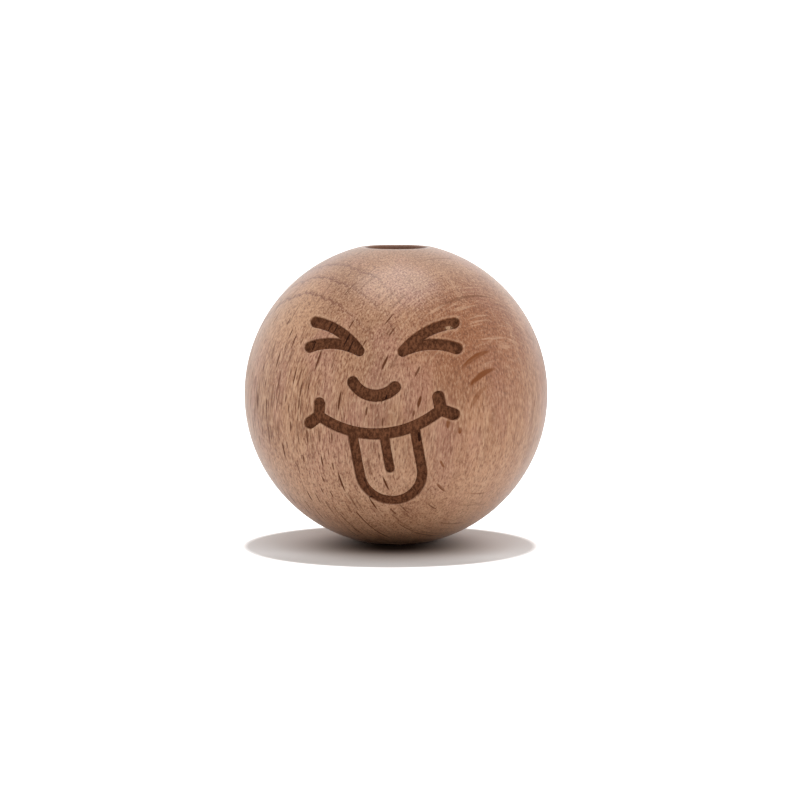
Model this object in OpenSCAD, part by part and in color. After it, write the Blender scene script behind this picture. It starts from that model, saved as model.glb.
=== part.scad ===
// Wooden bead with an engraved face: a drilled ball that stands on its end.
// Millimetres. +Z runs up the cord hole, and the face looks along -Y.
// A point of the face is [across, up] from the ball's centre, as seen from the front.

/* [Ball] */
// Diameter of the ball
ball_d = 25; // [23:0.5:32]
// Diameter of the cord hole
bore_d = 5; // [3:0.1:7]
// Radius that softens the two mouths of the cord hole
mouth_round = 0.2; // [0.1:0.05:0.4]
// Width of the flat land around each mouth
land_w = 0.3; // [0.15:0.05:0.8]

/* [Engraving] */
// Depth of the engraved lines below the ball's surface
cut_depth = 0.3; // [0.15:0.05:0.6]
// Width of the eye lines
eye_line = 0.8; // [0.5:0.05:1]
// Width of the nose line
nose_line = 0.9; // [0.5:0.05:1.1]
// Width of the mouth line
mouth_line = 0.85; // [0.5:0.05:1]
// Width of the short lines at the mouth's corners
corner_line = 0.9; // [0.5:0.05:1]
// Width of the tongue's outline
tongue_line = 0.75; // [0.5:0.05:1]
// Width of the crease down the tongue
crease_line = 0.7; // [0.4:0.05:0.9]

/* [Eyes] */
// Inner corner, where an eye's two lines meet; the left eye mirrors the right one
eye_tip = [1.75, 4.65]; // [1.2:0.05:5]
// Outer end of an eye's upper line
eye_top_end = [5.6, 6.7]; // [4:0.05:7]
// Outer end of an eye's lower line
eye_low_end = [5.95, 4.75]; // [4:0.05:6.5]
// Height of an eye line's arc over its chord
eye_bow = 0.45; // [0.2:0.05:0.8]

/* [Nose] */
// Left end of the nose
nose_left = [-2.2, 2.2]; // [-3:0.05:3]
// Right end of the nose
nose_right = [1.2, 1.85]; // [-3:0.05:3]
// Depth of the nose's arc under its chord
nose_bow = 0.85; // [0.4:0.05:1.4]

/* [Mouth] */
// Left corner of the mouth
mouth_left = [-5, -0.6]; // [-6:0.05:1]
// Right corner of the mouth
mouth_right = [4.8, 0]; // [-1:0.05:6]
// Depth of the smile under its corners
smile_sag = 1.6; // [0.8:0.05:2.2]
// Reach of the left corner's upper line from the corner
left_up = [0.05, 1]; // [-1.2:0.05:1.2]
// Reach of the left corner's outer line from the corner
left_out = [-0.8, -0.65]; // [-1.2:0.05:1.2]
// Reach of the right corner's upper line from the corner
right_up = [-0.2, 1.05]; // [-1.2:0.05:1.2]
// Reach of the right corner's outer line from the corner
right_out = [1, -0.4]; // [-1.2:0.05:1.2]

/* [Tongue] */
// Centre of the tongue's round tip
tip_centre = [0.75, -5.05]; // [-6:0.05:2]
// Width between the middles of the tongue's two sides
tongue_w = 5; // [3.5:0.1:6]
// Lean of the tongue, to the right at its tip
tongue_lean = 8; // [-10:1:15]
// Height at which the crease ends above the centre of the tip
crease_end = 0.3; // [0:0.05:1.5]

/* [Hidden] */
$fn = 96;
swell = 1.04;                                // a line's round end over its width
ball_r = ball_d / 2;
bore_r = bore_d / 2;
land_r = bore_r + mouth_round + land_w;      // outer edge of the flat land
half_h = sqrt(ball_r^2 - land_r^2);          // where the land cuts the ball
over = 1;                                    // how far a cutter runs past what it cuts
cast_from = ball_r / 5;                      // where the drawing is cast from, behind the face
smile_r = bow_radius(mouth_left, mouth_right, smile_sag);
smile_c = bow_centre(mouth_left, mouth_right, -smile_sag);
tongue_up = [-sin(tongue_lean), cos(tongue_lean)];

// Radius of the arc over the chord a-b that rises by bow at its middle.
function bow_radius(a, b, bow) = (norm(b - a)^2 / 4 + bow^2) / (2 * abs(bow));

// Centre of that arc. A positive bow rises to the left of the way from a to b.
function bow_centre(a, b, bow) =
    let (along = (b - a) / norm(b - a), left = [-along.y, along.x])
    (a + b) / 2 + left * (bow - sign(bow) * bow_radius(a, b, bow));

// Where the line from p along the unit vector way first meets the smile's arc.
function on_smile(p, way) =
    let (from = p - smile_c, b = from * way, c = from * from - smile_r^2)
    p + way * (-b - sqrt(b^2 - c));

// Straight line of width w from a to b, with round ends.
module straight_line(a, b, w) {
    translate(a) rotate(atan2(b.y - a.y, b.x - a.x))
        translate([0, -w / 2]) square([norm(b - a), w]);
    for (end = [a, b]) translate(end) circle(d = w * swell);
}

// Line of width w that bows from a to b, with round ends.
module bowed_line(a, b, bow, w) {
    r = bow_radius(a, b, bow);
    half = asin(norm(b - a) / 2 / r);
    far = 2 * r;
    translate(bow_centre(a, b, bow))
        rotate(atan2(b.y - a.y, b.x - a.x) + (bow > 0 ? 90 : -90))
            intersection() {
                difference() {
                    circle(r = r + w / 2);
                    circle(r = r - w / 2);
                }
                polygon([[0, 0], far * [cos(half), -sin(half)], far * [cos(half), sin(half)]]);
            }
    for (end = [a, b]) translate(end) circle(d = w * swell);
}

// One shut eye: two lines that meet at the inner corner.
module eye() {
    bowed_line(eye_tip, eye_top_end, eye_bow, eye_line);
    bowed_line(eye_tip, eye_low_end, eye_bow, eye_line);
}

module nose() {
    bowed_line(nose_left, nose_right, -nose_bow, nose_line);
}

// The smile with its two short lines at each corner.
module mouth() {
    bowed_line(mouth_left, mouth_right, -smile_sag, mouth_line);
    for (reach = [left_up, left_out]) straight_line(mouth_left, mouth_left + reach, corner_line);
    for (reach = [right_up, right_out]) straight_line(mouth_right, mouth_right + reach, corner_line);
}

// A tongue of width w: round below, straight above.
module tongue_shape(w) {
    circle(d = w);
    translate([-w / 2, 0]) square([w, 2 * tongue_w]);
}

// The tongue's outline hangs from the smile, with a crease down its middle.
module tongue() {
    difference() {
        translate(tip_centre) rotate(tongue_lean) difference() {
            tongue_shape(tongue_w + tongue_line);
            tongue_shape(tongue_w - tongue_line);
        }
        translate(smile_c) circle(r = smile_r);
    }
    crease_foot = tip_centre + crease_end * tongue_up;
    straight_line(crease_foot, on_smile(crease_foot, tongue_up), crease_line);
}

// The whole drawing, flat.
module face() {
    eye();
    mirror([1, 0]) eye();
    nose();
    mouth();
    tongue();
}

// What the beam takes away: the drawing cast along -Y onto the ball, down to an even depth.
module engraving() {
    difference() {
        translate([0, -cast_from, 0]) rotate([90, 0, 0]) linear_extrude(ball_r) face();
        sphere(r = ball_r - cut_depth);
    }
}

// Half of the turned section: ball, cord hole, flat lands and softened mouths.
module section() {
    difference() {
        intersection() {
            circle(r = ball_r);
            translate([bore_r, -half_h]) square([ball_r, 2 * half_h]);
        }
        for (flip = [0, 1]) mirror([0, flip]) difference() {
            translate([bore_r - over, half_h - mouth_round]) square(mouth_round + over);
            translate([bore_r + mouth_round, half_h - mouth_round]) circle(r = mouth_round);
        }
    }
}

module bead() {
    color("burlywood") difference() {
        rotate_extrude() section();
        engraving();
    }
}

bead();
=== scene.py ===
import math

import bpy
from mathutils import Matrix, Vector


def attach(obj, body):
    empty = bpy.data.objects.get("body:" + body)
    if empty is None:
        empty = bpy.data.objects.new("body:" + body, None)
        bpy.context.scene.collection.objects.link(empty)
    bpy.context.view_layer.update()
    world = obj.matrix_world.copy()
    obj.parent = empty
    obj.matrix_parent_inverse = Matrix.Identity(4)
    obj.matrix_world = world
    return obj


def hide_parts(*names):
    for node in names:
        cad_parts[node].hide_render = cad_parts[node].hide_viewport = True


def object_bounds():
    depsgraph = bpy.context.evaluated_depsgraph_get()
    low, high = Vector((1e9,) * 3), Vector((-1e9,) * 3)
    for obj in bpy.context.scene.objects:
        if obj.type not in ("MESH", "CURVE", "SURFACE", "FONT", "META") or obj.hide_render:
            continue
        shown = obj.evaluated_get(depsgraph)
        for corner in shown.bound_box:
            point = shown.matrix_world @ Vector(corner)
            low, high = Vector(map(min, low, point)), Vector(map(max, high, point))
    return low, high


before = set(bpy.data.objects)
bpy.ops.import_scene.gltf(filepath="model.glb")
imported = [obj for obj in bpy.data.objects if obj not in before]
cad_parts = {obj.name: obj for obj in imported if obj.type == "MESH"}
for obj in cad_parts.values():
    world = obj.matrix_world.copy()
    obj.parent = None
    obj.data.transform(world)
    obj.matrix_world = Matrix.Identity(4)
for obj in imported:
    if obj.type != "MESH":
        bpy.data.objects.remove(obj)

mm = 0.001
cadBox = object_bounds()
print("frame loaded, box in mm:", [round(side / mm, 2) for side in cadBox[1] - cadBox[0]])

# camera, lamps, white room and floor

camera = {
    "azimuth": 5.9,             # degrees round from the face, towards +X
    "elevation": 6.2,
    "distance": 330,            # mm from the ball's centre
    "lens": 180,
    "aim": (0.33, -0.51),       # mm right of and above the ball's centre
    "clip": (0.01, 20),         # metres
}


def placeCamera():
    turn, rise = math.radians(camera["azimuth"]), math.radians(camera["elevation"])
    back = Vector((math.sin(turn) * math.cos(rise), -math.cos(turn) * math.cos(rise), math.sin(rise)))
    facing = (-back).to_track_quat("-Z", "Y")
    place = back * camera["distance"] + facing @ Vector((*camera["aim"], 0))
    bpy.ops.object.camera_add(location=place * mm, rotation=facing.to_euler())
    made = bpy.context.object
    made.name = "tableCamera"
    made.data.lens = camera["lens"]
    made.data.clip_start, made.data.clip_end = camera["clip"]
    bpy.context.scene.camera = made


studio = {
    "lamps": {                  # place in mm, width in mm, watts
        "overheadSoftbox": ((0, 50, 400), 290, 0.55),
        "leftPanel": ((-340, 40, 60), 200, 0.42),
        "rightPanel": ((335, 0, 90), 200, 0.51),
        "frontFill": ((0, -340, 70), 160, 0.3),
    },
    "shiny": ("overheadSoftbox",),          # the lamps whose own light shows in the lacquer
    "air": 0.48,                # light from all round, as an empty white room gives
    "floorWidth": 12,           # metres
    "floorWhite": 0.85,
    "floorSeen": 0.905,         # the same, as the camera sees it
    "shadowMiddle": (-0.1, -3.6),           # mm
    "shadowReach": (11.5, 12.6),            # mm from there over which the floor turns plain white
    "paintedPoolMiddle": (0.3, -4),    # mm; painted shadow: the floor is painted darkest here, close by the ball's foot
    "paintedPoolReach": (1, 10.2),     # mm from there over which the painted shadow clears
    "paintedPoolDarkest": 0.03,
    "paintedPoolTint": (1, 1.12, 1.2),             # powers that warm the painted shadow as it darkens
    "paintedNearReach": (-8, -13.5),   # mm along Y over which the shadow's near side is painted grey, for the camera only
    "paintedNearShade": 0.71,
}


def placeLamps():
    for name, (place, width, watts) in studio["lamps"].items():
        aim = (-Vector(place)).to_track_quat("-Z", "Y")
        bpy.ops.object.light_add(type="AREA", location=Vector(place) * mm, rotation=aim.to_euler())
        lamp = bpy.context.object
        lamp.name = name
        lamp.data.shape = "DISK"
        lamp.data.size = width * mm
        lamp.data.energy = watts
        lamp.visible_glossy = name in studio["shiny"]


def addNode(tree, kind, *feeds, **settings):
    # one node: feeds go to its inputs in order, and a None leaves an input as it is
    node = tree.nodes.new("ShaderNode" + kind)
    for name, value in settings.items():
        setattr(node, name, value)
    for slot, feed in enumerate(feeds):
        plug(tree, node.inputs[slot], feed)
    return node


def plug(tree, socket, feed):
    if feed is None:
        return
    if isinstance(feed, bpy.types.Node):
        feed = feed.outputs[0]
    if isinstance(feed, bpy.types.NodeSocket):
        tree.links.new(feed, socket)
    else:
        socket.default_value = feed


def emptyTree(owner):
    owner.use_nodes = True
    owner.node_tree.nodes.clear()
    return owner.node_tree


def combine(tree, kind, first, second=None, third=None):
    return addNode(tree, "Math", first, second, third, operation=kind)


def times(tree, product, *shares):
    for share in shares:
        product = combine(tree, "MULTIPLY", product, share)
    return product


def ramp(tree, feed, low, high, bottom=0, top=1, kind="SMOOTHSTEP"):
    # bottom at low and top at high; low may be the larger of the two
    return addNode(tree, "MapRange", feed, low, high, bottom, top, interpolation_type=kind)


def backdropRays(tree):
    # 1 for what the camera, a reflection or a clear body sees of the room
    paths = addNode(tree, "LightPath")
    seen = combine(tree, "MAXIMUM", paths.outputs["Is Camera Ray"], paths.outputs["Is Glossy Ray"])
    return combine(tree, "MAXIMUM", seen, paths.outputs["Is Transmission Ray"])


def lightRoom():
    world = bpy.data.worlds.new("whiteRoom")
    bpy.context.scene.world = world
    tree = emptyTree(world)
    strength = ramp(tree, backdropRays(tree), 0, 1, studio["air"], 1, "LINEAR")
    air = addNode(tree, "Background", (1, 1, 1, 1), strength)
    addNode(tree, "OutputWorld", air)


def awayFrom(tree, place, middle, reach):
    # on the floor: 0 within the reach's first distance from the middle, 1 past its second
    off = addNode(tree, "VectorMath", place, (-middle[0] * mm, -middle[1] * mm, 0), operation="ADD")
    away = addNode(tree, "VectorMath", off, operation="LENGTH").outputs["Value"]
    return ramp(tree, away, reach[0] * mm, reach[1] * mm)


def paintedShadowByFoot(tree, place, seen):
    # painted shadow on the floor: dark and warm by the ball's foot, and painted grey for the camera on the
    # shadow's near side
    shade = awayFrom(tree, place, studio["paintedPoolMiddle"], studio["paintedPoolReach"])
    shade = ramp(tree, shade, 0, 1, studio["paintedPoolDarkest"], 1, "LINEAR")
    nearStart, nearEnd = studio["paintedNearReach"]
    depth = addNode(tree, "SeparateXYZ", place).outputs["Y"]
    near = ramp(tree, seen, 0, 1, 1, studio["paintedNearShade"], "LINEAR")
    shade = times(tree, shade, ramp(tree, depth, nearStart * mm, nearEnd * mm, 1, near))
    return addNode(tree, "VectorMath", shade, studio["paintedPoolTint"], operation="POWER")


def finishPaper():
    paper = bpy.data.materials.new("whitePaper")
    tree = emptyTree(paper)
    seen = addNode(tree, "LightPath").outputs["Is Camera Ray"]
    place = addNode(tree, "TexCoord").outputs["Object"]
    white = ramp(tree, seen, 0, 1, studio["floorWhite"], studio["floorSeen"], "LINEAR")
    # the floor's colour carries the painted shadow by the ball's foot
    shaded = addNode(tree, "VectorMath", paintedShadowByFoot(tree, place, seen), white, operation="MULTIPLY")
    matt = addNode(tree, "BsdfDiffuse", shaded)
    plain = awayFrom(tree, place, studio["shadowMiddle"], studio["shadowReach"])
    glow = addNode(tree, "Emission", (1, 1, 1, 1), times(tree, plain, seen))
    addNode(tree, "OutputMaterial", addNode(tree, "AddShader", matt, glow))
    return paper


def layFloor():
    bpy.ops.mesh.primitive_plane_add(size=studio["floorWidth"], location=(0, 0, cadBox[0].z))
    floor = bpy.context.object
    floor.name = "paperFloor"
    floor.data.materials.append(finishPaper())


placeCamera()
placeLamps()
lightRoom()
layFloor()
bpy.context.scene.view_settings.view_transform = "Standard"
print("camera, lamps and floor placed")

# the turned ball, in mm

ball = {
    "width": 25,
    "bore": 5,
    "mouthRound": 0.2,          # radius that softens the hole's two mouths
    "land": 0.5,                # from the hole's wall to the outer edge of the flat land
    "landEase": 0.08,           # how far the land's outer edge is rubbed down
    "segments": 160,
    "rings": 80,
    "boreCuts": 24,             # rings of faces down the hole
    "mouthSteps": 5,
    "easeSteps": 2,
    "onEnd": 0.001,             # mm within which a point counts as on a sawn end
    "onRim": 0.05,              # and on a rim
    "onCut": 1e-7,              # metres, for the saw
}
ballR, boreR = ball["width"] / 2, ball["bore"] / 2
landR = boreR + ball["land"]
halfHeight = math.sqrt(ballR ** 2 - landR ** 2)


def startPick(kind):
    # clears the selection and leaves edit mode, where one made in code would be lost
    bpy.ops.mesh.select_all(action="DESELECT")
    bpy.ops.mesh.select_mode(type=kind)
    bpy.ops.object.mode_set(mode="OBJECT")


def pickFaces(piece, wanted):
    # called in edit mode: selects the faces whose middle wanted() accepts, and counts them
    startPick("FACE")
    picked = [polygon for polygon in piece.data.polygons if wanted(polygon.center / mm)]
    for polygon in picked:
        polygon.select = True
    bpy.ops.object.mode_set(mode="EDIT")
    return len(picked)


def pickEdges(piece, wanted):
    # called in edit mode: selects the edges whose two ends wanted() accepts
    startPick("EDGE")
    points = piece.data.vertices
    for edge in piece.data.edges:
        edge.select = all(wanted(points[end].co / mm) for end in edge.vertices)
    bpy.ops.object.mode_set(mode="EDIT")


def onEnd(spot):
    return abs(spot.z) > halfHeight - ball["onEnd"]


def easeRim(piece, radius, width, steps):
    # rounds the edge at this radius on both ends
    pickEdges(piece, lambda spot: onEnd(spot) and abs(spot.xy.length - radius) < ball["onRim"])
    bpy.ops.mesh.bevel(offset=width * mm, segments=steps, affect="EDGES")


def turnBall():
    bpy.ops.object.select_all(action="DESELECT")
    bpy.ops.mesh.primitive_uv_sphere_add(segments=ball["segments"], ring_count=ball["rings"],
                                         radius=ballR * mm)
    piece = bpy.context.object
    piece.name = "engravedBall"
    bpy.ops.object.mode_set(mode="EDIT")
    for end in (1, -1):         # saw off both ends and close them
        bpy.ops.mesh.select_all(action="SELECT")
        bpy.ops.mesh.bisect(plane_co=(0, 0, end * halfHeight * mm), plane_no=(0, 0, end),
                            threshold=ball["onCut"], use_fill=True, clear_outer=True)
    pickFaces(piece, onEnd)
    bpy.ops.mesh.inset(thickness=ball["land"] * mm, depth=0)
    pickFaces(piece, lambda spot: onEnd(spot) and spot.xy.length < boreR / 2)
    bpy.ops.mesh.bridge_edge_loops(number_cuts=ball["boreCuts"])        # drill the hole through
    easeRim(piece, boreR, ball["mouthRound"], ball["mouthSteps"])
    easeRim(piece, landR, ball["landEase"], ball["easeSteps"])
    bpy.ops.object.mode_set(mode="OBJECT")
    return piece


engravedBall = turnBall()
print("ball turned:", len(engravedBall.data.polygons), "faces")

# the engraved face: lines on the face plane, in mm across and up from the ball's centre

face = {
    "depth": 0.3,
    "lip": 0.05,                # half the width over which a line's edge falls away
    "foremost": 0.3,            # the lines lie past this share of the ball's radius towards -Y
    "within": 0.75,             # and within this share of it from the Y axis
    "awayMost": 1,              # mm; the attribute for the burning goes no further
    "eyes": {"tip": (1.75, 4.65), "top": (5.6, 6.7), "low": (5.95, 4.75), "bow": 0.45, "width": 0.8},
    "nose": {"left": (-2.2, 2.2), "right": (1.2, 1.85), "bow": -0.85, "width": 0.9},
    "mouth": {
        "left": (-5, -0.6), "right": (4.8, 0), "bow": -1.6, "width": 0.85,
        "leftTicks": ((0.05, 1), (-0.8, -0.65)), "rightTicks": ((-0.2, 1.05), (1, -0.4)), "tickWidth": 0.9,
    },
    "tongue": {
        "centre": (0.75, -5.05), "width": 5, "line": 0.75,
        "lean": 8,              # degrees
        "crease": 0.7, "creaseEnd": 0.3,    # its width, and how far above the centre it ends
    },
    "refine": (0.9, 0.4, 0.2, 0.1),         # each pass halves the faces this near to a line
}


def straightLine(start, end, width):
    start, end = Vector(start), Vector(end)
    along = end - start

    def distance(spot):
        share = max(0, min(1, (spot - start).dot(along) / along.length_squared))
        return (spot - start - along * share).length - width / 2

    return distance


def bowedLine(start, end, bow, width):
    # an arc over the chord from start to end; a positive bow rises to the left of the way
    start, end = Vector(start), Vector(end)
    along = (end - start).normalized()
    left = Vector((-along.y, along.x))
    radius = ((end - start).length_squared / 4 + bow ** 2) / (2 * abs(bow))
    centre = (start + end) / 2 + left * (bow - math.copysign(radius, bow))
    middle = left * math.copysign(1, bow)
    reach = middle.dot((end - centre).normalized())

    def distance(spot):
        out = spot - centre
        if out.length > 0 and middle.dot(out.normalized()) >= reach:
            return abs(out.length - radius) - width / 2
        return min((spot - start).length, (spot - end).length) - width / 2

    distance.centre, distance.radius = centre, radius
    return distance


def drawEyes():
    eyes, lines = face["eyes"], []
    for side in (1, -1):
        tip = (side * eyes["tip"][0], eyes["tip"][1])
        for x, y in (eyes["top"], eyes["low"]):
            lines.append(bowedLine(tip, (side * x, y), side * eyes["bow"], eyes["width"]))
    return lines


def drawNose():
    nose = face["nose"]
    return [bowedLine(nose["left"], nose["right"], nose["bow"], nose["width"])]


def drawMouth():
    # the smile, then the ticks at its corners
    mouth = face["mouth"]
    lines = [bowedLine(mouth["left"], mouth["right"], mouth["bow"], mouth["width"])]
    for corner, ticks in (("left", "leftTicks"), ("right", "rightTicks")):
        start = Vector(mouth[corner])
        for tick in mouth[ticks]:
            lines.append(straightLine(start, start + Vector(tick), mouth["tickWidth"]))
    return lines


def drawTongue(smile):
    tongue = face["tongue"]
    lean = math.radians(tongue["lean"])
    up, across = Vector((-math.sin(lean), math.cos(lean))), Vector((math.cos(lean), math.sin(lean)))
    centre, half = Vector(tongue["centre"]), tongue["width"] / 2
    left, right = centre - across * half, centre + across * half
    foot = centre + up * tongue["creaseEnd"]

    def onSmile(spot):          # where the way up from spot meets the middle of the smile
        out = spot - smile.centre
        past = out.dot(up)
        return spot - up * (past + math.sqrt(past ** 2 - out.length_squared + smile.radius ** 2))

    return [
        straightLine(left, onSmile(left), tongue["line"]),
        straightLine(right, onSmile(right), tongue["line"]),
        bowedLine(left, right, -half, tongue["line"]),
        straightLine(foot, onSmile(foot), tongue["crease"]),
    ]


mouthLines = drawMouth()
faceLines = drawEyes() + drawNose() + mouthLines + drawTongue(mouthLines[0])


def fromLine(spot):
    # mm from a point of the ball to the nearest line's edge, less than 0 inside a line
    if spot.y > -face["foremost"] * ballR or spot.xz.length > face["within"] * ballR:
        return ballR
    return min(line(spot.xz) for line in faceLines)


def smoothStep(value, low, high):
    share = max(0, min(1, (value - low) / (high - low)))
    return share * share * (3 - 2 * share)


def refineFace(piece):
    bpy.ops.object.mode_set(mode="EDIT")
    for near in face["refine"]:
        picked = pickFaces(piece, lambda spot: fromLine(spot) < near)
        bpy.ops.mesh.subdivide(number_cuts=1)
        bpy.ops.object.mode_set(mode="OBJECT")
        for point in piece.data.vertices:
            if point.select:    # a new point goes out to the ball's own round
                point.co = point.co.normalized() * ballR * mm
        bpy.ops.object.mode_set(mode="EDIT")
        print("  refined", picked, "faces within", near, "mm of a line")
    bpy.ops.object.mode_set(mode="OBJECT")


def engraveFace(piece):
    # sinks the lines and keeps each point's distance from them for the burning
    gaps = [fromLine(point.co / mm) for point in piece.data.vertices]
    cut = piece.vertex_groups.new(name="engraved")
    for index, gap in enumerate(gaps):
        if gap < face["lip"]:
            cut.add([index], 1 - smoothStep(gap, -face["lip"], face["lip"]), "REPLACE")
    sink = piece.modifiers.new("engrave", "DISPLACE")
    sink.vertex_group = cut.name
    sink.mid_level = 0
    sink.strength = -face["depth"] * mm
    bpy.ops.object.modifier_apply(modifier=sink.name)
    most = face["awayMost"]
    away = piece.data.attributes.new("lineGap", "FLOAT", "POINT")
    away.data.foreach_set("value", [max(-most, min(most, gap)) for gap in gaps])
    bpy.ops.object.shade_smooth()


refineFace(engravedBall)
engraveFace(engravedBall)
print("face engraved:", len(engravedBall.data.polygons), "faces")

# the lacquered beech, in mm on the wood's own axes: x across the growth rings, towards the front left,
# y across the rays, towards the front right, and z up the fibre

wood = {
    "ringNormal": (-0.661, -0.750, -0.004),
    "fibre": (0.075, -0.072, 0.995),
    "gamma": 2.2,               # from the colours as seen to the light they send back
    "colours": {                # as seen, before the lacquer's gloss
        "pale": (0.70, 0.51, 0.38),
        "deep": (0.63, 0.45, 0.325),
        "pink": (0.68, 0.48, 0.40),
        "foot": (0.76, 0.575, 0.455),       # low down, paler there as painted light from below
        "flank": (0.77, 0.585, 0.44),       # at the far left, and in the pale spot
        "warm": (0.53, 0.305, 0.15),
        "ringLine": (0.42, 0.19, 0.05),
        "vessel": (0.42, 0.24, 0.105),
        "light": (0.83, 0.67, 0.54),
        "dark": (0.40, 0.195, 0.03),
        "fleck": (0.35, 0.19, 0.085),
        "fleckFace": (0.45, 0.25, 0.115),   # a ray cut along its face
        "boreShadeAndWood": (0.40, 0.25, 0.17),        # inside the hole: the drilled wood's darker colour, with painted shade in the bore
        "burnt": (0.46, 0.30, 0.215),
        "burntDeep": (0.31, 0.19, 0.13),
        "burntFleck": (0.14, 0.05, 0.02),
    },
    "spots": {                  # centre and half axes; the pattern is 0 at the centre and 1 at their ends
        "warmSpot": ((0.3, 10.6, 7.3), (10.3, 7.2, 9.2)),
        "paleSpot": ((10, -2.5, 7.5), (5, 5, 6)),
        "chip": ((3.3, 9.15, 7.3), (0.4, 0.4, 0.17)),       # a splinter out of one eye's burnt skin
    },
    "noises": {                 # cell, offset in cells, detail, roughness
        "slow": ((4, 5, 16), (0, 0, 0), 2, 0.5),
        "blush": ((3, 3, 7), (5, 5, 5), 2, 0.5),
        "waver": ((6, 2, 12), (0, 0, 0), 3, 0.65),
        "scallop": ((9, 0.8, 9), (0, 0, 0), 1, 0.5),
        "seasons": ((1.1, 14, 14), (3.2, 9, 9), 2, 0.5),
        "bands": ((0.8, 0.8, 11), (7, 7, 7), 2, 0.5),
        "streaks": ((0.22, 0.22, 1.7), (0, 0, 0), 4, 0.7),
        "pores": ((0.13, 0.13, 0.6), (0, 0, 0), 3, 0.6),
        "thin": ((2.8, 0.17, 1.4), (0, 0, 0), 2, 0.6),
        "scorch": ((0.2, 0.2, 0.4), (0, 0, 0), 4, 0.75),
        "beam": ((0.12, 0.12, 0.12), (0, 0, 0), 3, 0.6),
    },
    "tints": {                  # colour, pattern, its values where the tint begins and is full, share there
        "deep": ("deep", "slow", 0.3, 0.7, 1),
        "blush": ("pink", "blush", 0.45, 0.7, 0.6),
        # the foot tint is painted light: the wood is paler low down
        "foot": ("foot", "along", -0.5, -6, 0.6),
        "flank": ("flank", "sideways", -3, -9, 0.6),
        "paleSpot": ("flank", "paleSpot", 1, 0.3, 0.6),
        "seasonDark": ("ringLine", "seasons", 0.5, 0.66, 0.16),
        "seasonLight": ("light", "seasons", 0.46, 0.32, 0.25),
        "bandDark": ("ringLine", "bands", 0.5, 0.66, 0.13),
        "bandLight": ("light", "bands", 0.44, 0.3, 0.2),
        "streaks": ("vessel", "streaks", 0.45, 0.75, 0.65),
        "poreLight": ("light", "pores", 0.5, 0.34, 0.55),
        "poreDark": ("dark", "pores", 0.52, 0.67, 0.8),
        "speckle": ("fleck", "pores", 0.52, 0.66, 0.5),
        "thinLight": ("light", "thin", 0.46, 0.3, 0.45),
        "thinDark": ("dark", "thin", 0.54, 0.72, 0.45),
        # painted shade in the hole, with the drilled wood's darker colour
        "boreShadeAndWood": ("boreShadeAndWood", "fromHole", ball["mouthRound"], 0.02, 0.85),
        # painted highlight: the wood paler along the lines' edges
        "rim": ("light", "lineGap", 0.3, 0.1, 0.25),
        "burntDeep": ("burntDeep", "scorch", 0.4, 0.6, 1),
        "burntFleck": ("burntFleck", "flecks", 0.1, 0.7, 0.85),
        "chip": ("light", "chip", 1.2, 0.4, 0.8),
    },
    "limits": {                 # pattern, two of its values, and what is left at each
        "ringsHigh": ("along", 3.5, 7, 0.1, 1),
        "ringsLow": ("along", -7, -11, 0, 0.3),
        "ringsRight": ("sideways", 0, 6, 1, 0.5),
        "seasonsRight": ("sideways", 3, 8, 0.3, 1),
        "bandsLow": ("along", 2, 6, 1, 0),
        "calmRight": ("sideways", 7, 11.5, 1, 0.7),
        "calmLeft": ("sideways", -1, -7, 1, 0.8),
        "thinOnEnd": ("aside", 5, 9.5, 1, 0.2),
        "thinLow": ("along", 4, 7, 1, 0.15),
        "arcsRight": ("sideways", 4, 7, 0, 1),
        "arcsHigh": ("along", 3.5, 6, 0, 0.75),
        "smallLeft": ("sideways", 1, 7, 1, 0.45),
        "flecksOnEnd": ("aside", 7.5, 10.5, 1, 0.2),
        "flecksLow": ("along", 5.5, 9, 1, 0.35),
        "fleckRagged": ("thin", 0.62, 0.5, 0.7, 1),
        "fleckWhole": ("sideways", 10.5, 9, 0, 1),
        "fleckFace": ("sideways", 9.8, 11, 0, 1),
        "paintedHighlightOutside": ("lineGap", 0.05, 0.1, 0, 1),
        "paintedHighlightPatchy": ("slow", 0.45, 0.6, 0, 1),
        "chipRagged": ("scorch", 0.6, 0.45, 0.2, 1),
        "burnt": ("lineGap", 0.06, -0.01, 0, 1),
    },
    "warmth": (0.25, 0.85),     # where in its spot the warm colour is full, and its share there
    "paleInWarmth": 0.6,        # what is left of the pale pores there
    "rings": ((-8.6, 0.5), (-5.9, 0.4), (-3.6, 0.5), (-1.4, 0.4), (0.6, 0.35), (2.6, 0.35), (4.5, 0.5),
              (6.1, 1), (7.6, 1), (9.05, 1)),               # place across the rings, strength
    "ringStart": -0.36,         # a ring darkens from here to
    "ringDarkest": -0.06,       # here, and clears
    "ringEnd": 0.04,            # by here
    "ringCurve": 1.6,           # a power that thins the lines
    "ringWander": {"waver": 1.1, "scallop": 0.6},           # mm that a noise moves the rings
    "chanceFlecks": {           # cell, half reach in cells, share of cells with one, offset, strength
        "small": ((4, 0.2, 1.8), 0.62, 0.29, 3, 1),
        "middling": ((6, 0.32, 3.4), 0.42, 0.16, 11, 0.9),
    },
    "leastReach": 0.5,          # of the reach, for the smallest fleck by chance
    "leastDepth": 0.35,         # of the strength, for the faintest
    "spindle": (1, 0.5),        # from the outside of a fleck by chance to where it is full
    "boldSpindle": (1, 0.6),    # the same for a placed one
    "boldThickness": 1.15,      # times the thickness in the list
    "relief": {"streaks": 0.4, "flecks": -0.6, "burnt": 2.2},
    "reliefStrength": 0.6,
    "reliefHeight": 0.02,       # mm for a relief of 1
    "gloss": 0.15,
    "roughness": 0.32,
    "burntRoughness": 0.95,
    "streakRoughness": 0.12,    # more of it on the streaks
    "lacquer": 0.88,
    "lacquerRoughness": 0.3,
    "fleckBare": 0.8,           # how far the lacquer has sunk into a fleck
}
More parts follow.
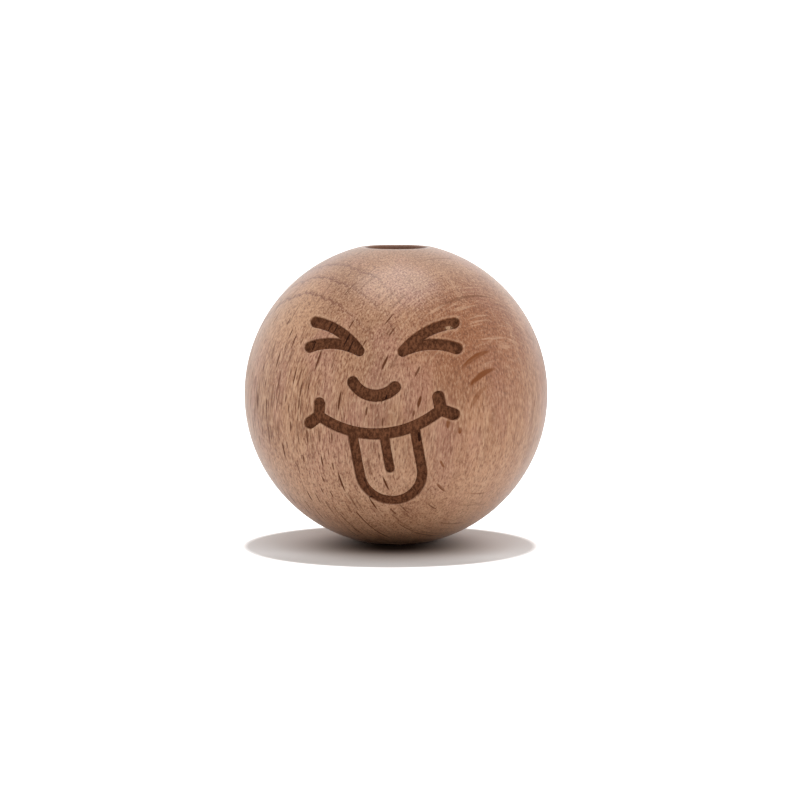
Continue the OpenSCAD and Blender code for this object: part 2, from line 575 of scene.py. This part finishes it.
# the boldest rays that the surface cuts
rays = [
    # centre, half reach across the rings, half thickness and half height, strength
    # at the left, from the top down
    ((7.7, 2.0, 9.6), (1.2, 0.05, 1), 0.7),
    ((10.1, -1.8, 7.1), (2, 0.06, 1.2), 0.6),
    ((10.6, -2, 6.4), (2, 0.07, 0.4), 0.9),
    ((11.1, -1, 5.7), (3, 0.07, 0.4), 1),
    ((11.25, 0.6, 5.35), (3, 0.06, 0.4), 0.7),
    ((11.3, 1.7, 5.1), (3, 0.07, 0.5), 1),
    ((11.6, -1, 4.6), (3, 0.06, 0.4), 0.9),
    ((11.4, 2.85, 4.2), (3, 0.08, 1.05), 1),
    ((11.5, -2.5, 4.1), (3, 0.07, 0.8), 0.7),
    ((12.2, 1.0, 2.6), (3, 0.07, 0.9), 1),
    ((11.8, -3.3, 2.5), (3, 0.06, 0.45), 0.9),
    ((12.1, 2.6, 2), (3, 0.06, 0.45), 1),
    ((12.2, -2.5, 1.4), (3, 0.06, 0.4), 0.9),
    ((12.5, 0.4, 0.7), (3, 0.06, 0.45), 0.9),
    ((12.3, 1.9, 0.5), (3, 0.06, 0.65), 0.9),
    ((12.4, -0.6, 0), (3, 0.06, 0.7), 0.8),
    ((12.3, -2, -1), (3, 0.06, 0.7), 0.9),
    ((12.3, 1.1, -1.5), (3, 0.08, 0.55), 0.9),
    ((11.9, 3.1, -2.15), (3, 0.05, 0.4), 0.7),
    ((12.2, -0.75, -2.2), (3, 0.06, 0.6), 0.6),
    ((12.1, 0.5, -3.2), (3, 0.06, 0.35), 0.8),
    ((11.9, 0, -3.9), (3, 0.07, 0.5), 1),
    ((11.7, 2.1, -4), (3, 0.07, 0.4), 0.9),
    ((11.4, 1.25, -5), (3, 0.05, 0.65), 0.8),
    ((10.2, 2.95, -6.6), (2, 0.06, 0.3), 0.9),
    ((9.9, 1.25, -7.4), (2, 0.08, 0.6), 1),
    ((9.2, 0.25, -8.5), (2, 0.07, 0.6), 0.8),
    ((6.2, 2.5, -10.6), (1.4, 0.05, 0.7), 0.9),
    # in the middle
    ((0, 3.8, 11.8), (2.4, 0.08, 0.9), 0.4),
    ((0.5, 8.1, 9.3), (3.6, 0.1, 1.5), 0.5),
    ((5.9, 6, 9.2), (1.5, 0.08, 0.9), 0.4),
    ((7.3, 6.4, 7.8), (1.2, 0.06, 0.55), 0.9),
    ((9.35, 4.2, 7.15), (2, 0.07, 0.45), 0.9),
    ((7.6, 7.1, 6.95), (2, 0.06, 0.45), 0.8),
    ((10.1, 4.25, 6), (3, 0.07, 0.8), 1),
    ((9.3, 5.85, 5.9), (2, 0.06, 0.35), 0.8),
    ((8.65, 7.7, 4.6), (2, 0.08, 0.7), 1),
    ((11.1, 4.2, 3.95), (3, 0.06, 0.3), 0.7),
    ((9.2, 8.25, 1.8), (2, 0.07, 0.45), 0.9),
    ((11.1, 5.4, 1.3), (3, 0.08, 1), 1),
    ((10, 7.4, 0.75), (2, 0.07, 0.45), 0.9),
    ((9.2, 8.45, 0), (2, 0.06, 0.45), 0.8),
    ((11.3, 4.95, -1.7), (3, 0.06, 0.45), 0.8),
    ((9, 8.15, -2.9), (2, 0.05, 0.5), 0.6),
    ((11.2, 4.55, -3), (3, 0.05, 0.4), 0.7),
    ((11.2, 3.85, -3.9), (3, 0.07, 0.6), 1),
    ((10.8, 4.7, -4.2), (2, 0.06, 0.4), 0.9),
    ((8, 8.05, -5.2), (2, 0.07, 0.75), 1),
    ((10, 5, -5.5), (3, 0.08, 1.05), 1),
    ((10.6, 3.5, -5.55), (2, 0.07, 0.3), 0.9),
    ((9.8, 3.7, -6.8), (2, 0.06, 0.35), 0.9),
    ((7.9, 6.55, -7.1), (2, 0.07, 0.75), 1),
    ((6.4, 7.4, -7.8), (1, 0.06, 0.4), 0.8),
    ((7.8, 4.9, -8.5), (1.2, 0.07, 0.5), 0.9),
    ((6.9, 4.9, -9.1), (2.6, 0.06, 1.3), 0.9),
    ((4.4, 6.9, -9.4), (1.2, 0.05, 1), 0.7),
    ((2.3, 6.8, -10.1), (1.8, 0.05, 0.8), 0.8),
    ((5.2, 4.87, -10.3), (2, 0.05, 1), 0.9),
    # at the right
    ((2.1, 11.15, 5.1), (1.9, 0.1, 1.5), 0.95),
    ((6.85, 9.6, 4.1), (2, 0.06, 0.5), 0.8),
    ((1.85, 11.74, 3.75), (1.9, 0.09, 1.4), 1),
    ((2.4, 12.05, 2.2), (1.4, 0.06, 1.3), 0.6),
    ((7.05, 10.2, 1.8), (2, 0.08, 0.6), 1),
    ((-4.5, 11.6, 1), (0.1, 0.5, 0.45), 0.7),
    ((7.4, 10.05, 0.85), (2, 0.06, 0.3), 0.8),
    ((4.9, 11.5, 0.1), (2, 0.08, 0.5), 0.9),
    ((3.9, 11.9, -0.5), (0.2, 0.3, 0.35), 0.9),
    ((7.2, 10.15, -1.1), (2, 0.08, 0.5), 1),
    ((4.85, 11.05, -3.3), (2, 0.06, 0.4), 0.8),
    ((4.2, 10.45, -5.4), (0.9, 0.07, 0.7), 0.9),
    ((0.5, 10.85, -6.1), (1.1, 0.04, 0.4), 0.5),
    ((4, 9.38, -7.2), (0.9, 0.05, 0.5), 0.8),
]


def blend(tree, share, under, over):
    # either feed may be a colour's name
    node = tree.nodes.new("ShaderNodeMix")
    node.data_type = "RGBA"
    plug(tree, node.inputs["Factor"], share)
    for name, feed in (("A", under), ("B", over)):
        if isinstance(feed, str):
            feed = (*[channel ** wood["gamma"] for channel in wood["colours"][feed]], 1)
        socket = [entry for entry in node.inputs if entry.name == name and entry.type == "RGBA"][0]
        plug(tree, socket, feed)
    return [entry for entry in node.outputs if entry.type == "RGBA"][0]


def limit(tree, patterns, name):
    pattern, *ends = wood["limits"][name]
    return ramp(tree, patterns[pattern], *ends)


def tint(tree, patterns, tone, name, *shares):
    # one of the tints over the tone, less where a share is under 1
    colour, pattern, begins, full, most = wood["tints"][name]
    amount = ramp(tree, patterns[pattern], begins, full, 0, most)
    return blend(tree, times(tree, amount, *shares), tone, colour)


def stretched(tree, point, cell, offset):
    # counts the wood in cells of this size
    return addNode(tree, "Mapping", point, offset, None, tuple(1 / side for side in cell))


def reachesFrom(tree, point, centre, reach):
    # distance from a centre, 1 on the ellipsoid with these half axes
    scale = tuple(1 / side for side in reach)
    shift = tuple(-c / side for c, side in zip(centre, reach))
    off = addNode(tree, "VectorMath", point, scale, shift, operation="MULTIPLY_ADD")
    return addNode(tree, "VectorMath", off, operation="LENGTH").outputs["Value"]


def woodPoint(tree, place):
    # the place on the wood's own axes, in mm
    fibre, ringNormal = Vector(wood["fibre"]).normalized(), Vector(wood["ringNormal"])
    ringNormal = (ringNormal - fibre * ringNormal.dot(fibre)).normalized()
    turn = Matrix((ringNormal, fibre.cross(ringNormal), fibre)).to_euler()
    return addNode(tree, "Mapping", place, (0, 0, 0), tuple(turn), (1 / mm, 1 / mm, 1 / mm))


def readPatterns(tree):
    # all that the colours follow
    place = addNode(tree, "TexCoord").outputs["Object"]
    point = woodPoint(tree, place)
    patterns = {"point": point}
    axes = addNode(tree, "SeparateXYZ", point).outputs
    patterns["across"], patterns["sideways"], patterns["along"] = axes
    patterns["aside"] = combine(tree, "ABSOLUTE", patterns["sideways"])
    flat = addNode(tree, "VectorMath", place, (1 / mm, 1 / mm, 0), operation="MULTIPLY")
    fromAxis = addNode(tree, "VectorMath", flat, operation="LENGTH").outputs["Value"]
    patterns["fromHole"] = combine(tree, "SUBTRACT", fromAxis, boreR)
    patterns["lineGap"] = addNode(tree, "Attribute", attribute_name="lineGap").outputs["Fac"]
    for name, (centre, reach) in wood["spots"].items():
        patterns[name] = reachesFrom(tree, point, centre, reach)
    for name, (cell, offset, detail, roughness) in wood["noises"].items():
        cells = stretched(tree, point, cell, offset)
        patterns[name] = addNode(tree, "TexNoise", cells, None, 1, detail, roughness)
    return patterns


def slowTone(tree, patterns):
    # changes over several millimetres, and the warm spot's share
    full, most = wood["warmth"]
    warmth = ramp(tree, patterns["warmSpot"], 1, full, 0, most)
    tone = tint(tree, patterns, "pale", "deep")
    # the foot tint among these is painted light, paler low down
    for name in ("blush", "foot", "flank"):
        tone = tint(tree, patterns, tone, name)
    tone = blend(tree, warmth, tone, "warm")
    return tint(tree, patterns, tone, "paleSpot"), warmth


def ringLines(tree, patterns):
    # the thin dark edges of the growth rings, boldest where the end grain shows
    place = patterns["across"]  # moved both ways by noises whose middle is 0.5
    for name, far in wood["ringWander"].items():
        place = combine(tree, "MULTIPLY_ADD", combine(tree, "SUBTRACT", patterns[name], 0.5), far, place)
    lines = tree.nodes.new("ShaderNodeValToRGB")
    stops = lines.color_ramp.elements
    stops[0].color = stops[1].color = (0, 0, 0, 1)
    for ring, strength in wood["rings"]:
        for away, level in ((wood["ringStart"], 0), (wood["ringDarkest"], strength), (wood["ringEnd"], 0)):
            stops.new((ring + away + ballR) / ball["width"]).color = (level, level, level, 1)
    plug(tree, lines.inputs[0], ramp(tree, place, -ballR, ballR, 0, 1, "LINEAR"))
    endGrain = combine(tree, "ADD", limit(tree, patterns, "ringsHigh"), limit(tree, patterns, "ringsLow"))
    show = combine(tree, "POWER", lines, wood["ringCurve"])
    return times(tree, show, endGrain, limit(tree, patterns, "ringsRight"))


def softBands(tree, patterns, tone):
    # wide ones along the rings, then narrow ones up the fibre
    for name, where in (("season", "seasonsRight"), ("band", "bandsLow")):
        share = limit(tree, patterns, where)
        tone = tint(tree, patterns, tone, name + "Dark", share)
        tone = tint(tree, patterns, tone, name + "Light", share)
    return tone


def fineGrain(tree, patterns, tone, warmth):
    # streaks of vessels along the fibre, then the pores
    tone = tint(tree, patterns, tone, "streaks")
    calm = combine(tree, "MINIMUM", limit(tree, patterns, "calmRight"), limit(tree, patterns, "calmLeft"))
    cool = ramp(tree, warmth, 0, wood["warmth"][1], 1, wood["paleInWarmth"], "LINEAR")
    tone = tint(tree, patterns, tone, "poreLight", cool, calm)
    tone = tint(tree, patterns, tone, "poreDark", calm)
    return tint(tree, patterns, tone, "speckle", warmth)


def thinRays(tree, patterns, tone):
    # side by side where the surface cuts the rays across, and as arcs at the upper right
    cutAcross = times(tree, limit(tree, patterns, "thinOnEnd"), limit(tree, patterns, "thinLow"))
    arcs = times(tree, limit(tree, patterns, "arcsRight"), limit(tree, patterns, "arcsHigh"))
    share = combine(tree, "MAXIMUM", cutAcross, arcs)
    tone = tint(tree, patterns, tone, "thinLight", share)
    return tint(tree, patterns, tone, "thinDark", share)


def chanceFlecks(tree, point, name):
    # one spindle in a share of the cells
    cell, reach, share, offset, strength = wood["chanceFlecks"][name]
    cells = stretched(tree, point, cell, (offset, offset, offset))
    cells = addNode(tree, "TexVoronoi", cells, None, 1, feature="F1")
    lot = addNode(tree, "SeparateColor", cells.outputs["Color"]).outputs
    size = ramp(tree, lot[1], 0, 1, reach * wood["leastReach"], reach, "LINEAR")
    spindle = ramp(tree, combine(tree, "DIVIDE", cells.outputs["Distance"], size), *wood["spindle"])
    chosen = combine(tree, "LESS_THAN", lot[0], share)
    depth = ramp(tree, lot[2], 0, 1, wood["leastDepth"], 1, "LINEAR")
    return times(tree, spindle, chosen, depth, strength)


def placedFlecks(tree, point):
    deepest = 0
    for centre, (reach, thickness, height), strength in rays:
        away = reachesFrom(tree, point, centre, (reach, thickness * wood["boldThickness"], height))
        deepest = combine(tree, "MAXIMUM", ramp(tree, away, *wood["boldSpindle"], 0, strength), deepest)
    return deepest


def rayFlecks(tree, patterns):
    # the small ones by chance, few where the rays lie flat, and the bold ones in their places
    point = patterns["point"]
    small = times(tree, chanceFlecks(tree, point, "small"), limit(tree, patterns, "smallLeft"))
    either = combine(tree, "MAXIMUM", small, chanceFlecks(tree, point, "middling"))
    cutAcross, low = limit(tree, patterns, "flecksOnEnd"), limit(tree, patterns, "flecksLow")
    ragged, whole = limit(tree, patterns, "fleckRagged"), limit(tree, patterns, "fleckWhole")
    bold = times(tree, placedFlecks(tree, point), combine(tree, "MAXIMUM", ragged, whole))
    return combine(tree, "MAXIMUM", times(tree, either, cutAcross, low), bold)


def cleanWood(tree, patterns):
    # all but the lines, with a painted highlight in places along their edges
    tone, warmth = slowTone(tree, patterns)
    tone = blend(tree, ringLines(tree, patterns), tone, "ringLine")
    tone = softBands(tree, patterns, tone)
    tone = fineGrain(tree, patterns, tone, warmth)
    tone = thinRays(tree, patterns, tone)
    fleckTone = blend(tree, limit(tree, patterns, "fleckFace"), "fleck", "fleckFace")
    tone = blend(tree, patterns["flecks"], tone, fleckTone)
    # painted shade inside the hole, with the drilled wood's darker colour
    tone = tint(tree, patterns, tone, "boreShadeAndWood")
    # painted highlight in places along the lines' edges
    return tint(tree, patterns, tone, "rim", limit(tree, patterns, "paintedHighlightOutside"),
                limit(tree, patterns, "paintedHighlightPatchy"))


def burntWood(tree, patterns):
    # the engraved lines, with the rays showing darker through them
    brown = tint(tree, patterns, "burnt", "burntDeep")
    brown = tint(tree, patterns, brown, "burntFleck")
    return tint(tree, patterns, brown, "chip", limit(tree, patterns, "chipRagged"))


def fineRelief(tree, patterns, burnt):
    # the streaks stand up a little, the rays are sunk, and the floor of the lines is rough
    relief = wood["relief"]
    height = combine(tree, "ADD", times(tree, patterns["streaks"], relief["streaks"]),
                     times(tree, patterns["flecks"], relief["flecks"]))
    floor = times(tree, patterns["beam"], burnt)
    height = combine(tree, "MULTIPLY_ADD", floor, relief["burnt"], height)
    bump = addNode(tree, "Bump", wood["reliefStrength"], wood["reliefHeight"] * mm)
    plug(tree, bump.inputs["Height"], height)
    return bump


def finishBeech():
    beech = bpy.data.materials.new("lacqueredBeech")
    tree = emptyTree(beech)
    patterns = readPatterns(tree)
    patterns["flecks"] = rayFlecks(tree, patterns)
    burnt = limit(tree, patterns, "burnt")
    bare = combine(tree, "MAXIMUM", burnt, times(tree, patterns["flecks"], wood["fleckBare"]))
    rough = ramp(tree, burnt, 0, 1, wood["roughness"], wood["burntRoughness"], "LINEAR")
    rough = combine(tree, "MULTIPLY_ADD", patterns["streaks"], wood["streakRoughness"], rough)
    skin = blend(tree, burnt, cleanWood(tree, patterns), burntWood(tree, patterns))
    shader = tree.nodes.new("ShaderNodeBsdfPrincipled")
    shader.inputs["Specular IOR Level"].default_value = wood["gloss"]
    shader.inputs["Coat Roughness"].default_value = wood["lacquerRoughness"]
    plug(tree, shader.inputs["Base Color"], skin)
    plug(tree, shader.inputs["Coat Weight"], ramp(tree, bare, 0, 1, wood["lacquer"], 0, "LINEAR"))
    plug(tree, shader.inputs["Roughness"], rough)
    plug(tree, shader.inputs["Normal"], fineRelief(tree, patterns, burnt))
    addNode(tree, "OutputMaterial", shader)
    return beech


engravedBall.data.materials.append(finishBeech())
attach(engravedBall, "root")
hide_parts("bead")
print("beech finished")
